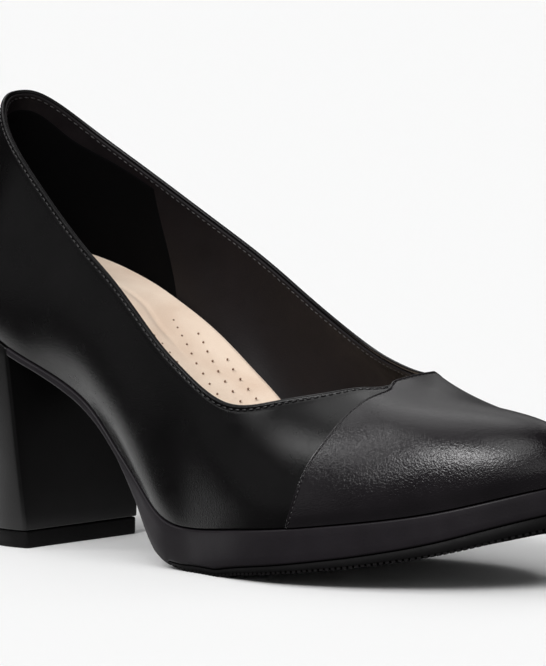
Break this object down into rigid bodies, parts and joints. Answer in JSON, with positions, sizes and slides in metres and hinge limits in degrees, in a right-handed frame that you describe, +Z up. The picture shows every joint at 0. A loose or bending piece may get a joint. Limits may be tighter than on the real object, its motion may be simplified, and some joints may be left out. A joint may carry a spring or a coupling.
{
  "type": "block heel pump",
  "caption": "Closed-toe dress shoe for the right foot with a low-cut topline, a covered toe cap, a straight block heel and a low platform under the forefoot.",
  "frame": {"origin": "on the floor, at the centre of the shoe's length and width", "axes": "+X from heel to toe, -Y to the outer side of the right foot, +Z up from the floor"},
  "size_m": [0.2352, 0.0814, 0.1387],
  "materials": {
    "upper_leather": "smooth black leather, fine grain, soft sheen",
    "cap_leather": "smooth black leather, fine grain, soft sheen",
    "footbed_suede": "tan microsuede over foam, perforated, matte",
    "platform_cover": "black moulded platform side, satin",
    "outsole_rubber": "black rubber with a fine toothed tread, matte",
    "heel_cover": "smooth black covered heel, satin",
    "lift_rubber": "black rubber top lift, matte"
  },
  "bodies": {
    "root": {"upper": "upper_leather", "toe_cap": "cap_leather", "footbed": "footbed_suede", "platform": "platform_cover", "outsole": "outsole_rubber", "heel": "heel_cover", "top_lift": "lift_rubber"}
  },
  "joints": []
}
